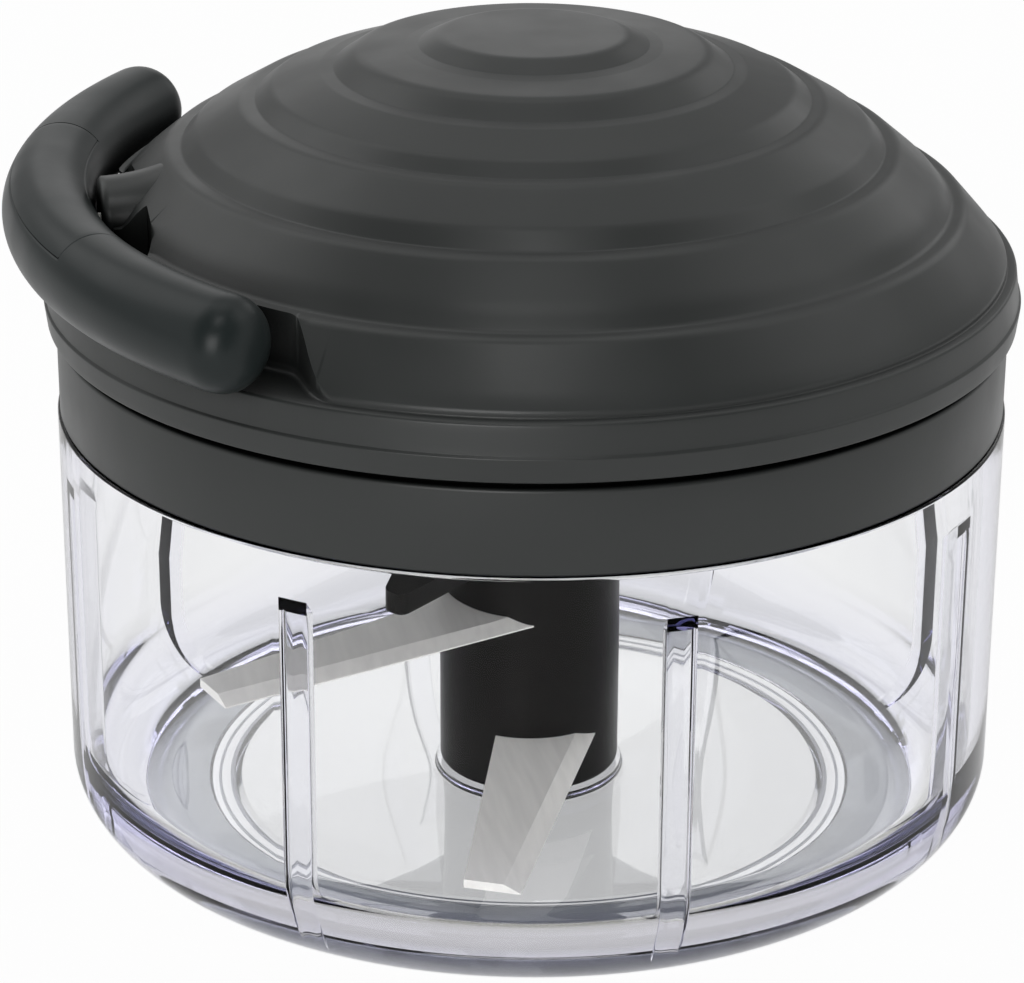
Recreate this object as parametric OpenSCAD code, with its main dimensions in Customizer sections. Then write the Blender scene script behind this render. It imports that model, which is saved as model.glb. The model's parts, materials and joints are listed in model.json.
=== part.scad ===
// Food chopper driven by a pull cord: clear bowl, stepped lid with a sprung cord spool, two-blade shaft.
// The origin is the centre of the base on the table. +Z is up, and the handle is pulled towards -X.
// Azimuths are counted from the front (-Y) towards +X.

/* [Bowl] */
// Outside radius of the clear bowl
bowl_r = 63.3; // [60:0.1:72]
// Height of the shoulder that carries the lid
bowl_h = 58; // [52:0.5:75]
// Wall thickness of the bowl
bowl_wall = 2.2; // [1.5:0.1:3.2]
// Thickness of the floor above the non-slip ring
floor_t = 0.8; // [0.5:0.1:2]
// Outside radius of the rounded foot
foot_round = 8; // [4:0.5:10]
// Radius of the fillet between floor and wall, inside
floor_fillet = 12; // [6:0.5:16]
// Height of the neck that goes up inside the lid
neck_h = 7; // [5:0.5:9]
// Wall thickness of the neck
neck_wall = 1.4; // [1.2:0.1:2]
// Number of ribs inside the wall
rib_n = 8; // [4:1:12]
// Width of a rib where it meets the wall
rib_w = 3.9; // [3:0.1:6]
// How far a rib stands in from the wall
rib_d = 1.8; // [1.2:0.1:2.5]
// Height of the ribs' tops above the table
rib_top = 51.3; // [35:0.1:52]
// Drop of a rib's sloping top
rib_drop = 2.3; // [1:0.1:8]
// How far the bend at a rib's lower end sinks below the fillet's own bend
rib_sink = 2; // [1.6:0.1:4]
// Azimuth of the first rib
rib_turn = 5.7; // [0:0.1:45]
// Radius of the boss under the blade shaft
boss_r = 13; // [11:0.5:16]
// Height of the boss above the floor
boss_h = 0.8; // [0.4:0.1:2]

/* [Non-slip ring] */
// Width of the ring
pad_w = 9.5; // [6:0.5:12]
// Thickness of the ring
pad_t = 1.6; // [1:0.1:2.5]
// How far the ring stands out below the base
pad_proud = 0.4; // [0.2:0.1:0.6]
// Distance of the ring from the rounded foot
pad_edge = 1.3; // [0.5:0.1:3]
// Width of the foot rib inside the ring
foot_rib = 3.3; // [2:0.1:5]
// Height of the hollow in the middle of the base
base_hollow = 0.5; // [0.2:0.1:0.8]

/* [Lid base] */
// How far the lid's ring lies inside the bowl's outline
ring_inset = 0.3; // [0:0.1:1]
// Wall thickness of the ring
ring_wall = 1.3; // [1.1:0.1:2.4]
// Height of the ring
ring_h = 11.4; // [10.5:0.1:14]
// Thickness of the lid's plate
plate_t = 2; // [1.5:0.1:3]
// Depth of the plug that goes into the neck
plug_h = 6; // [4:0.5:7]
// Wall thickness of the plug
plug_wall = 1.8; // [1.4:0.1:2.5]
// Room for the seal between plug and neck
plug_gap = 0.8; // [0.6:0.1:1.4]
// Height of the seal
seal_h = 2.4; // [1.6:0.1:3]
// Depth of the seal's groove in the plug
seal_groove = 0.8; // [0.4:0.1:1]
// Distance of a screw's head from the plug
screw_edge = 5.1; // [3:0.1:8]
// Radius of a screw's shank
screw_r = 1.4; // [1:0.1:1.8]
// Radius of a screw's head
screw_head_r = 2.8; // [2.2:0.1:3.4]
// Length of a screw's shank
screw_l = 11; // [8:0.5:14]

/* [Dome cover] */
// How far the dome stands out past the lid's ring
dome_out = 1.5; // [0.5:0.1:2.5]
// Dark gap between the dome's lower edge and the ring
shadow_gap = 1.1; // [0.6:0.1:1.6]
// Wall thickness of the dome
dome_wall = 2.2; // [1.6:0.1:2.8]
// Distances of the edges of the dome's steps from its widest edge, from the top down
step_in = [52.3, 41.7, 30.5, 20.6, 11.6]; // [10:0.1:54]
// Heights of those edges above the dome's lower edge
step_z = [36.6, 34.5, 30, 24.6, 17.8]; // [10:0.1:40]
// Widths of the risers below those edges
riser_w = [2.8, 3.2, 2.2, 2, 1.9]; // [1.5:0.1:3.5]
// Heights of those risers
riser_h = [1.4, 2.2, 1.7, 2.2, 2.4]; // [1.2:0.1:2.6]
// Width of the flat ledge at the foot of each riser
step_ledge = 0.9; // [0.6:0.1:1.5]
// Crown of the top disc
top_crown = 0.3; // [0.1:0.1:1]
// How far the edge of the dome's shoulder lies inside its skirt
shoulder_in = 3.2; // [2.6:0.1:4]
// Height of that edge above the dome's lower edge
shoulder_z = 9.8; // [9:0.1:11]
// Height of the ledge that the handle lies over, above the dome's lower edge
ledge_z = 7.5; // [6.5:0.1:7.8]
// Height of the fine line round the skirt
skirt_line_z = 3.2; // [2:0.1:4.5]

/* [Handle] */
// Radius of the handle's tube
handle_r = 6.05; // [5:0.05:6.3]
// Radius of the handle's curve, at the middle of the tube
handle_arc = 79.3; // [70:0.1:86]
// How far the tube's middle lies inside the dome's outline, where the cord enters
handle_in = 1.3; // [0:0.1:2]
// Height of the tube's middle above the dome's lower edge
handle_z = 14.6; // [14.2:0.1:15.4]
// Half of the angle that the handle's tube covers, without its end caps
handle_half = 37.2; // [32:0.1:38]
// Length of an end cap
cap_l = 5.4; // [4:0.1:6]
// Rounding of an end cap's rim
cap_round = 4.4; // [2:0.1:5]
// Half of the angle that the middle of the handle covers
seam_half = 17.5; // [14:0.5:22]
// Height of the seam along the handle above the tube's middle
seam_z = 3.6; // [3.2:0.1:4.4]
// Gap between the handle and the wall of its recess
recess_gap = 1.2; // [0.6:0.1:2]
// Room past the handle's ends in the recess, as an angle
recess_end = 3.5; // [2:0.1:5]
// Rounding of the recess's ends
recess_round = 6; // [4:0.5:7]
// Depth of a finger hollow behind the recess
finger_d = 4.5; // [3:0.5:6]
// Width of a finger hollow
finger_w = 12; // [8:0.5:15]
// Outside radius of the cord nozzle
nozzle_r = 5.6; // [4.6:0.1:6]
// How much wider the nozzle is where it grows out of the dome
nozzle_flare = 2.5; // [1:0.1:3.5]
// Length of the nozzle inside the recess's wall
nozzle_in = 4; // [3.5:0.1:5]

/* [Cord drive] */
// Radius of the pull cord
cord_r = 0.9; // [0.7:0.05:1.1]
// Radius of the spool's drum
drum_r = 20; // [17:0.5:21]
// Height of the drum between the flanges
drum_h = 6.2; // [5.8:0.1:7.4]
// Wall thickness of the drum
drum_wall = 1.6; // [1.2:0.1:2.4]
// Radius of the spool's flanges
flange_r = 27; // [25:0.5:30]
// Thickness of a flange
flange_t = 1.5; // [1:0.1:2]
// Radius of the spool's hub
hub_r = 7.7; // [7:0.1:9]
// Radius of the arbor that the spool turns on
arbor_r = 4; // [3.4:0.1:4.4]
// Width across the flats of the drive dog
dog_w = 10; // [8:0.1:11]
// Length of the drive dog below the hub
dog_l = 12.5; // [11:0.5:14]
// Thickness of the spring strip
spring_t = 0.5; // [0.3:0.05:0.7]
// Number of turns in the spring
spring_turns = 5; // [4:1:6]
// Radius of the knot in the handle
knot_r = 2.5; // [1.8:0.1:2.8]

/* [Blades] */
// Radius of the blade shaft
shaft_r = 12.4; // [11.6:0.1:13.5]
// Height of the blade shaft
shaft_h = 53.5; // [50.5:0.5:54]
// Radius of the pivot pin
pin_r = 3; // [2.4:0.1:3.6]
// Height of the pivot pin above the boss
pin_h = 30; // [22:0.5:34]
// Thickness of a blade
blade_t = 1.2; // [0.8:0.1:2]
// Reach of a blade's tip from the axis
blade_reach = 53.8; // [45:0.1:54.5]
// How far the tip's back corner lies behind its front corner
blade_rake = 1.8; // [0:0.1:4]
// Distance of the blade's back from the centre line, at the shaft
blade_back = 4; // [2:0.1:6]
// Distance of the cutting edge from the centre line, at the shaft
blade_front = 9.1; // [7:0.1:10]
// Distance of the blade's back from the centre line, at the tip
tip_back = 8; // [6:0.1:10]
// Width of a blade at its tip
tip_w = 7.1; // [5:0.1:9]
// Width of the ground bevel on the cutting edge
bevel_w = 2.2; // [1:0.1:3]
// Height of the lower blade above the table
lower_z = 10.6; // [9:0.1:14]
// Height of the upper blade above the table
upper_z = 28.5; // [22:0.1:30]
// Azimuth that the lower blade points to at rest
lower_turn = -11.6; // [-30:0.1:0]
// Angle from the lower blade to the upper one
blade_step = 44.5; // [30:0.5:90]
// Height of the stir wing's underside above the table
wing_z = 39; // [33:0.5:44]
// Thickness of the stir wing
wing_t = 2.6; // [2:0.1:3.5]
// Reach of the stir wing's tip from the axis
wing_reach = 36; // [28:0.5:42]

/* [Hidden] */

// Clearances and the length that a cut goes past what it cuts
slide_gap = 0.3;
running_gap = 0.05;
press_gap = 0.02;
eps = 0.01;
cut_past = 1;

// Colours
clear_tint = [0.86, 0.88, 0.95, 0.35];
silicone = [0.72, 0.76, 0.82];
dark_plastic = [0.24, 0.25, 0.25];
black_plastic = [0.08, 0.07, 0.07];
steel = [0.66, 0.65, 0.62];
nylon = [0.85, 0.85, 0.82];

// Bowl heights and radii
base_z = pad_proud;
floor_z = pad_t + floor_t;
boss_top = floor_z + boss_h;
inner_r = bowl_r - bowl_wall;
ring_r = bowl_r - ring_inset;
neck_r = ring_r - ring_wall - slide_gap;
neck_in = neck_r - neck_wall;
neck_top = bowl_h + neck_h;
pad_out = bowl_r - foot_round - pad_edge;
pad_in = pad_out - pad_w;
hollow_r = pad_in - foot_rib;

// Lid heights and radii
plate_z = neck_top + slide_gap;
plate_top = plate_z + plate_t;
ring_top = bowl_h + ring_h;
plug_r = neck_in - plug_gap;
seal_z = plate_z - plug_h / 2;
dome_z = ring_top + shadow_gap;
dome_r = ring_r + dome_out;
step_r = [for (d = step_in) dome_r - d];
lip_r = ring_r - ring_wall - slide_gap;
lip_in = lip_r - dome_wall;
screw_at = plug_r - plug_wall - screw_head_r - screw_edge;
screw_az = [50, 130, -25, -155];
screw_boss_r = screw_r + 2.4;

// Handle and nozzle
handle_at = dome_r - handle_in;
grip_z = dome_z + handle_z;
arc_x = handle_arc - handle_at;
recess_r = handle_at - handle_r - recess_gap;
cap_angle = cap_l / handle_arc * 180 / PI;
cap_step = 0.05;
cap_sunk = 1;
tip_angle = handle_half + cap_angle;
recess_far = atan2(handle_arc * sin(tip_angle), handle_arc * cos(tip_angle) - arc_x) + recess_end;
recess_half = recess_far - asin(recess_round / (recess_r + recess_round));
ledge_top = dome_z + ledge_z;
nozzle_end = handle_at - handle_r - slide_gap;
liner_r = recess_r - finger_d - dome_wall;
liner_half = recess_far + dome_wall / recess_r * 180 / PI;
finger_half = asin((nozzle_r + finger_w + 3 * dome_wall) / liner_r);
nozzle_root = liner_r - nozzle_in;
eyelet_r = cord_r + 1.8;
cord_hole_r = cord_r + 0.4;

// Spool and spring
drum_z = grip_z - drum_h / 2;
base_plate_z = drum_z - flange_t;
wind_r = drum_r + cord_r;
hub_z = plate_z - 3.4;
thrust_z = plate_top + 2.6;
bearing_r = hub_r + 2.8;
arbor_z = base_plate_z - 1.2;
arbor_boss_z = drum_z + drum_h + flange_t + 0.5;
dog_stem_r = arbor_r + 0.5;
dog_stem_l = arbor_z - hub_z - 1.5;
spring_in = arbor_r + spring_t;
spring_out = drum_r - drum_wall - spring_t - slide_gap;

// Blade shaft
shaft_z = boss_top + slide_gap;
shaft_top = shaft_z + shaft_h;
dog_z = hub_z - dog_l;
socket_z = dog_z - 0.8;
socket_w = dog_w + 2 * slide_gap;
tang_r = pin_r + 2.4;
pin_top = boss_top + pin_h;

// Corner b of a path, between its neighbours a and c, rounded to radius r in n steps
function corner(a, b, c, r, n) =
    let(
        u = (a - b) / norm(a - b),
        v = (c - b) / norm(c - b),
        half = acos(max(-1, min(1, u * v))) / 2,
        room = 0.45 * min(norm(a - b), norm(c - b)),
        cut = min(room, r / tan(half)),
        radius = cut * tan(half),
        centre = b + (u + v) / norm(u + v) * radius / sin(half),
        from = b + u * cut - centre,
        side = u[0] * v[1] - u[1] * v[0] > 0 ? 1 : -1,
        sweep = 180 - 2 * half
    )
    r == 0 || half > 89.5 ? [b] : [
        for (i = [0 : n])
            let(t = -side * sweep * i / n)
            centre + [from[0] * cos(t) - from[1] * sin(t), from[0] * sin(t) + from[1] * cos(t)]
    ];

// Closed path of [x, y, corner radius] points with its corners rounded
function rounded(path, n = 4) = [
    for (i = [0 : len(path) - 1])
        let(a = path[(i + len(path) - 1) % len(path)], b = path[i], c = path[(i + 1) % len(path)])
        each corner([a[0], a[1]], [b[0], b[1]], [c[0], c[1]], b[2], n)
];

// Solid of revolution about the Z axis from a path of [radius, height, corner radius] points
module turned(path, n = 4) {
    rotate_extrude($fn = 180) polygon(rounded(path, n));
}

// Children turned to an azimuth counted from the front
module at_azimuth(az) {
    rotate([0, 0, az]) children();
}

// Section of a rib, as [across, depth] or, for its bend, as [radius, across]
rib_section = [
    [-rib_w / 2, -bowl_wall / 2], [rib_w / 2, -bowl_wall / 2], [rib_w / 2, rib_d], [-rib_w / 2, rib_d]
];
rib_bend_section = [for (p = rib_section) [floor_fillet - p[1], p[0]]];

// Inside of the bowl with half of its wall, which the ribs stay in
module rib_room() {
    deep = floor_z - floor_t / 2;
    wide = inner_r + bowl_wall / 2;
    turned([
        [0, deep, 0], [wide, deep, floor_fillet + bowl_wall / 2], [wide, rib_top, 0], [0, rib_top, 0]
    ], 8);
}

// One rib at the front of the bowl: a sloping top, a straight run down the wall and a bend into the floor
module rib() {
    slope = atan(rib_drop / rib_d);
    bend_z = floor_z + floor_fillet - rib_sink;
    intersection() {
        rib_room();
        difference() {
            union() {
                translate([0, -inner_r, bend_z])
                    linear_extrude(rib_top - bend_z) polygon(rib_section);
                translate([0, floor_fillet - inner_r, bend_z + eps])
                    rotate([0, 90, 0])
                        rotate([0, 0, 270])
                            rotate_extrude(angle = 90, $fn = 180) polygon(rib_bend_section);
            }
            translate([-rib_w, -inner_r, rib_top])
                rotate([-slope, 0, 0])
                    cube([2 * rib_w, 3 * rib_drop, 2 * rib_drop]);
        }
    }
}

module bowl() {
    shell = [
        [0, floor_z, 0], [inner_r, floor_z, floor_fillet], [inner_r, bowl_h - 0.8, 0.3],
        [neck_in, bowl_h + 0.2, 0.3], [neck_in, neck_top, 0.6], [neck_r, neck_top, 0.6],
        [neck_r, bowl_h, 0], [bowl_r, bowl_h, 0.4], [bowl_r, base_z, foot_round],
        [pad_out, base_z, 0], [pad_out, pad_t, 0], [pad_in, pad_t, 0], [pad_in, base_z, 0],
        [hollow_r, base_z, 0], [hollow_r, base_z + base_hollow, 0], [0, base_z + base_hollow, 0]
    ];
    color(clear_tint)
        difference() {
            union() {
                turned(shell, 8);
                translate([0, 0, floor_z - eps]) cylinder(r = boss_r, h = boss_h + eps, $fn = 96);
                for (i = [0 : rib_n - 1]) at_azimuth(rib_turn + i * 360 / rib_n) rib();
            }
            translate([0, 0, pad_t]) cylinder(r = pin_r, h = pin_h, $fn = 64);
        }
}

module non_slip_ring() {
    color(silicone)
        turned([
            [pad_in, 0, 0.3], [pad_out, 0, 0.3], [pad_out, pad_t, 0], [pad_in, pad_t, 0]
        ]);
}

module pivot_pin() {
    color(steel)
        turned([
            [0, pad_t, 0], [pin_r, pad_t, 0], [pin_r, pin_top, 0.8], [0, pin_top, 0]
        ]);
}

// Place of screw number i on its circle
module at_screw(i) {
    at_azimuth(screw_az[i]) translate([0, -screw_at, 0]) children();
}

module lid_base() {
    // Ring, plate, plug and bearing in one turned section
    section = [
        [hub_r + running_gap, hub_z - 1, 0], [bearing_r, hub_z - 1, 0.6], [bearing_r, plate_z, 1],
        [plug_r - plug_wall, plate_z, 1], [plug_r - plug_wall, plate_z - plug_h, 0.5],
        [plug_r, plate_z - plug_h, 0.5], [plug_r, seal_z - seal_h / 2, 0],
        [plug_r - seal_groove, seal_z - seal_h / 2, 0], [plug_r - seal_groove, seal_z + seal_h / 2, 0],
        [plug_r, seal_z + seal_h / 2, 0], [plug_r, plate_z, 0], [ring_r - ring_wall, plate_z, 0],
        [ring_r - ring_wall, bowl_h, 0.3], [ring_r, bowl_h, 0.5], [ring_r, ring_top, 0.6],
        [ring_r - ring_wall, ring_top, 0.4], [ring_r - ring_wall, plate_top, 0],
        [bearing_r, plate_top, 1], [bearing_r, thrust_z, 0.5], [hub_r + running_gap, thrust_z, 0]
    ];
    color(dark_plastic)
        difference() {
            turned(section);
            for (i = [0 : 3])
                at_screw(i) translate([0, 0, plate_z - eps])
                    cylinder(r = screw_r + press_gap, h = plate_t + 2 * eps, $fn = 48);
        }
}

module lid_seal() {
    color(silicone)
        turned([
            [plug_r - seal_groove, seal_z - seal_h / 2, 0],
            [neck_in - slide_gap, seal_z - seal_h / 2, 0.4],
            [neck_in - slide_gap, seal_z + seal_h / 2, 0.4],
            [plug_r - seal_groove, seal_z + seal_h / 2, 0]
        ]);
}

// Outside of the stepped dome, from its top down to its lower edge
dome_outside = concat(
    [[0, dome_z + step_z[0] + top_crown, 0]],
    [
        for (i = [0 : len(step_r) - 1])
            let(r = step_r[i], z = dome_z + step_z[i], foot_r = r + riser_w[i], foot_z = z - riser_h[i])
            each [
                [r, z, 0.9],
                [foot_r, foot_z, 0.4],
                [foot_r + step_ledge, foot_z - 0.1, 1.2]
            ]
    ],
    [
        [dome_r - shoulder_in, dome_z + shoulder_z, 1.2],
        [dome_r - 1.5, dome_z + ledge_z, 0.4],
        [dome_r - 0.8, dome_z + ledge_z - 0.2, 0.6],
        [dome_r - 0.3, dome_z + skirt_line_z + 0.3, 0.1],
        [dome_r, dome_z + skirt_line_z, 0.3],
        [dome_r - 0.4, dome_z, 0.4]
    ]
);

// Inside of the dome, from its lip up to the middle
dome_inside = concat(
    [[lip_r, dome_z, 0], [lip_r, plate_top, 0.3], [lip_in, plate_top, 0.3]],
    [[lip_in, dome_z + shoulder_z - 0.6 * dome_wall, 2]],
    [
        for (i = [len(step_r) - 1 : -1 : 0])
            [step_r[i] + riser_w[i] - 0.6 * dome_wall, dome_z + step_z[i] - riser_h[i] - dome_wall, 0]
    ],
    [[0, dome_z + step_z[0] - riser_h[0] - dome_wall, 0]]
);

// Solid under the dome's outside, down to the height of the plate
module dome_block() {
    rotate_extrude($fn = 180)
        polygon(rounded(concat(dome_outside, [[0, dome_z, 0]])));
}

// Sector on the handle's side of the dome: inner and outer radius, lowest and highest level, half angle
module sector(r0, r1, z0, z1, half) {
    rotate([0, 0, 180 - half])
        rotate_extrude(angle = 2 * half, $fn = 180)
            polygon([[r0, z0], [r1, z0], [r1, z1], [r0, z1]]);
}

// Recess for the handle: a wall round the dome over a flat ledge, rounded at both ends
module handle_recess() {
    sector(recess_r, 2 * dome_r, ledge_top, 2 * dome_z, recess_half);
    for (side = [-1, 1])
        rotate([0, 0, 180 + side * recess_half])
            translate([recess_r + recess_round, 0, ledge_top])
                cylinder(r = recess_round, h = dome_z, $fn = 64);
}

// Hollow for the fingertips on one side of the nozzle; side is 1 at the back and -1 in front
module finger_hollow(side) {
    y0 = nozzle_r + 0.6;
    x0 = -recess_r;
    translate([0, 0, ledge_top])
        linear_extrude(dome_z)
            polygon(rounded([
                [x0 - 2, side * y0, 0],
                [x0 + finger_d, side * y0, 2.5],
                [x0 + finger_d, side * (y0 + finger_w), 4],
                [x0 - 2, side * (y0 + finger_w + 2), 0]
            ]));
}

// Round tube along -X from the dome to the handle, flared where it leaves the dome and softened at its mouth
module nozzle() {
    translate([0, 0, grip_z])
        rotate([0, -90, 0])
            turned([
                [0, nozzle_root, 0], [nozzle_r + nozzle_flare, nozzle_root, 0],
                [nozzle_r, liner_r + 0.7 * finger_d, 6], [nozzle_r, nozzle_end, 1], [0, nozzle_end, 0]
            ], 6);
}

module dome_cover() {
    color(dark_plastic)
        difference() {
            union() {
                difference() {
                    union() {
                        rotate_extrude($fn = 180) polygon(rounded(concat(dome_outside, dome_inside)));
                        intersection() {
                            dome_block();
                            union() {
                                sector(recess_r - dome_wall, 2 * dome_r, ledge_top - dome_wall, 2 * dome_z,
                                    liner_half);
                                sector(liner_r, 2 * dome_r, ledge_top - dome_wall, 2 * dome_z, finger_half);
                            }
                        }
                        intersection() {
                            dome_block();
                            for (i = [0 : 3])
                                at_screw(i) translate([0, 0, plate_top])
                                    cylinder(r = screw_boss_r, h = dome_z, $fn = 48);
                        }
                        for (i = [0 : 3])
                            at_screw(i) translate([0, 0, plate_top])
                                cylinder(r = screw_boss_r, h = dome_z - plate_top + cut_past, $fn = 48);
                        translate([0, 0, arbor_boss_z])
                            cylinder(r = arbor_r + 3, h = dome_z + step_z[0] - riser_h[0] - arbor_boss_z, $fn = 64);
                    }
                    handle_recess();
                    finger_hollow(1);
                    finger_hollow(-1);
                }
                nozzle();
            }
            translate([1 - nozzle_root, 0, grip_z])
                rotate([0, -90, 0])
                    cylinder(r = eyelet_r, h = nozzle_end, $fn = 64);
            translate([0, 0, arbor_boss_z - eps])
                cylinder(r = arbor_r + press_gap, h = 9, $fn = 64);
            for (i = [0 : 3])
                at_screw(i) translate([0, 0, plate_top - eps])
                    cylinder(r = screw_r + press_gap, h = screw_l - plate_t + 1, $fn = 48);
        }
}

// Bush in the nozzle with a flange on its inner end
module cord_eyelet() {
    flange = nozzle_root;
    color(steel)
        translate([0, 0, grip_z])
            rotate([0, -90, 0])
                turned([
                    [cord_hole_r, flange - 0.8, 0.3], [eyelet_r + 1.2, flange - 0.8, 0.2],
                    [eyelet_r + 1.2, flange, 0], [eyelet_r - press_gap, flange, 0],
                    [eyelet_r - press_gap, nozzle_end - 0.4, 0.3], [cord_hole_r, nozzle_end - 0.4, 0.6]
                ]);
}

// Fixed post, with a slot that holds the spring's inner end
module spring_arbor() {
    color(steel)
        difference() {
            turned([
                [0, arbor_z, 0], [arbor_r, arbor_z, 0.6], [arbor_r, arbor_boss_z + 8.5, 0.6],
                [0, arbor_boss_z + 8.5, 0]
            ]);
            translate([0, -spring_t, drum_z + 0.2])
                cube([arbor_r + 1, 2 * spring_t, drum_h - 0.4]);
        }
}

// Point on the spring's spiral at turn t, moved outwards by w
function spiral(t, w) =
    let(r = spring_in + (spring_out - spring_in) * t / spring_turns + w)
    [r * cos(360 * t), r * sin(360 * t)];

module recoil_spring() {
    steps = 24 * spring_turns;
    color(steel)
        translate([0, 0, drum_z + slide_gap])
            linear_extrude(drum_h - 2 * slide_gap)
                polygon(concat(
                    [for (i = [0 : steps]) spiral(i / 24, 0)],
                    [for (i = [steps : -1 : 0]) spiral(i / 24, spring_t)]
                ));
}

// Pan-head screw number i, driven up through the plate into the dome
module lid_screw(i) {
    color(steel)
        at_screw(i)
            turned([
                [0, plate_z - 1.8, 0], [screw_head_r, plate_z - 1.8, 1], [screw_head_r, plate_z, 0],
                [screw_r, plate_z, 0], [screw_r, plate_z + screw_l - 1, 0], [0, plate_z + screw_l, 0]
            ]);
}

// The cord's straight way from the spool to the eyelet, its bend there, and its way through the nozzle
module cord_run() {
    mouth = nozzle_root - 1;
    turn = acos(wind_r / mouth);
    way = sqrt(mouth * mouth - wind_r * wind_r);
    clear = sqrt(pow(wind_r + 2 * cord_r + slide_gap, 2) - wind_r * wind_r);
    bend = 90 - turn;
    bend_r = 5 * cord_r;
    cut = bend_r * tan(bend / 2);
    lap = 0.3;
    thin_r = cord_r - 0.03;
    color(nylon)
        translate([0, 0, grip_z]) {
            translate([-wind_r * cos(turn), wind_r * sin(turn), 0])
                rotate([0, 0, 270 - turn])
                    rotate([0, 90, 0])
                        translate([0, 0, clear])
                            cylinder(r = thin_r, h = way - clear - cut + lap, $fn = 32);
            translate([-mouth - cut, bend_r, 0])
                rotate([0, 0, 270])
                    rotate_extrude(angle = bend, $fn = 180)
                        translate([bend_r, 0]) circle(r = cord_r, $fn = 32);
            translate([lap - mouth - cut, 0, 0])
                rotate([0, -90, 0])
                    cylinder(r = thin_r, h = nozzle_end - mouth - cut + lap, $fn = 32);
        }
}

// Drum with its lower flange, thrust collar and hub
module cord_spool() {
    color(black_plastic)
        turned([
            [dog_stem_r + press_gap, hub_z, 0], [hub_r, hub_z, 0.5], [hub_r, thrust_z + slide_gap, 0],
            [bearing_r, thrust_z + slide_gap, 0.4], [bearing_r, thrust_z + slide_gap + 1.6, 0.4],
            [hub_r, thrust_z + slide_gap + 1.6, 0.4], [hub_r, base_plate_z, 2],
            [flange_r, base_plate_z, 0.5], [flange_r, drum_z, 0.5], [drum_r, drum_z, 0],
            [drum_r, drum_z + drum_h, 0], [drum_r - drum_wall, drum_z + drum_h, 0],
            [drum_r - drum_wall, drum_z, 0], [arbor_r + running_gap, drum_z, 0],
            [arbor_r + running_gap, base_plate_z, 0], [dog_stem_r + press_gap, base_plate_z, 0]
        ]);
}

module spool_cap() {
    top = drum_z + drum_h;
    color(black_plastic)
        turned([
            [arbor_r + 1.6, top, 0], [flange_r, top, 0.5], [flange_r, top + flange_t, 0.5],
            [arbor_r + 1.6, top + flange_t, 0.3]
        ]);
}

// Turns of cord side by side on the drum, as one ribbed ring
module cord_winding() {
    turns = floor((drum_h - 0.2) / (2 * cord_r));
    z0 = grip_z - turns * cord_r;
    color(nylon)
        rotate_extrude($fn = 180)
            union() {
                translate([drum_r, z0 + cord_r / 2]) square([cord_r, (2 * turns - 1) * cord_r]);
                for (i = [0 : turns - 1])
                    translate([wind_r, z0 + (2 * i + 1) * cord_r]) circle(r = cord_r - eps, $fn = 32);
            }
}

// Six-sided drive pin on a round stem that is pressed into the hub
module drive_dog() {
    color(steel)
        union() {
            translate([0, 0, dog_z]) cylinder(r = dog_w / sqrt(3), h = dog_l, $fn = 6);
            translate([0, 0, hub_z - eps]) cylinder(r = dog_stem_r, h = dog_stem_l, $fn = 64);
        }
}

// Round tube along the handle's curve, from one angle to another
module handle_tube(from, to) {
    translate([arc_x, 0, grip_z])
        rotate([0, 0, 180 + from])
            rotate_extrude(angle = to - from, $fn = 180)
                translate([handle_arc, 0]) circle(r = handle_r, $fn = 64);
}

// Middle of the handle, with the cord's hole and the room for its knot
module grip() {
    difference() {
        handle_tube(-seam_half, seam_half);
        translate([-handle_at, 0, grip_z]) {
            sphere(r = knot_r + 0.2, $fn = 48);
            rotate([0, 90, 0]) cylinder(r = cord_hole_r, h = handle_r + 1, $fn = 32);
        }
    }
}

// Everything above the seam along the handle
module above_seam() {
    translate([-2 * handle_at, -handle_at, grip_z + seam_z]) cube([2 * handle_at, 2 * handle_at, handle_at]);
}

module grip_upper() {
    color(dark_plastic) intersection() {
        grip();
        above_seam();
    }
}

module grip_lower() {
    color(dark_plastic) difference() {
        grip();
        above_seam();
    }
}

// End piece of the handle; side is 1 at the back and -1 in front
module handle_end(side) {
    color(dark_plastic)
        mirror([0, side > 0 ? 1 : 0, 0])
            union() {
                handle_tube(seam_half, handle_half);
                translate([arc_x, 0, grip_z])
                    rotate([0, 0, 180 + handle_half])
                        translate([handle_arc, 0, 0])
                            rotate([-90, 0, 0])
                                turned([
                                    [0, -cap_sunk, 0], [handle_r - cap_step, -cap_sunk, 0],
                                    [handle_r - cap_step, cap_l, cap_round], [0, cap_l, 0]
                                ], 6);
            }
}

module handle_end_front() { handle_end(-1); }

module handle_end_back() { handle_end(1); }

module cord_knot() {
    color(nylon) translate([-handle_at, 0, grip_z]) sphere(r = knot_r, $fn = 48);
}

module cord_lead() {
    start = sqrt(knot_r * knot_r - cord_r * cord_r);
    color(nylon)
        difference() {
            translate([-nozzle_end, 0, grip_z])
                rotate([0, -90, 0])
                    cylinder(r = cord_r, h = handle_at - nozzle_end - start + 0.5, $fn = 32);
            translate([-handle_at, 0, grip_z]) sphere(r = knot_r, $fn = 48);
        }
}

// Plan of a blade that points to the front, from its tang inside the shaft to its tip
blade_plan = [
    [-blade_back, -tang_r], [blade_front, -tang_r], [blade_front, -shaft_r * 0.68],
    [tip_w - tip_back, -blade_reach], [-tip_back, -blade_reach + blade_rake]
];

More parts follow.
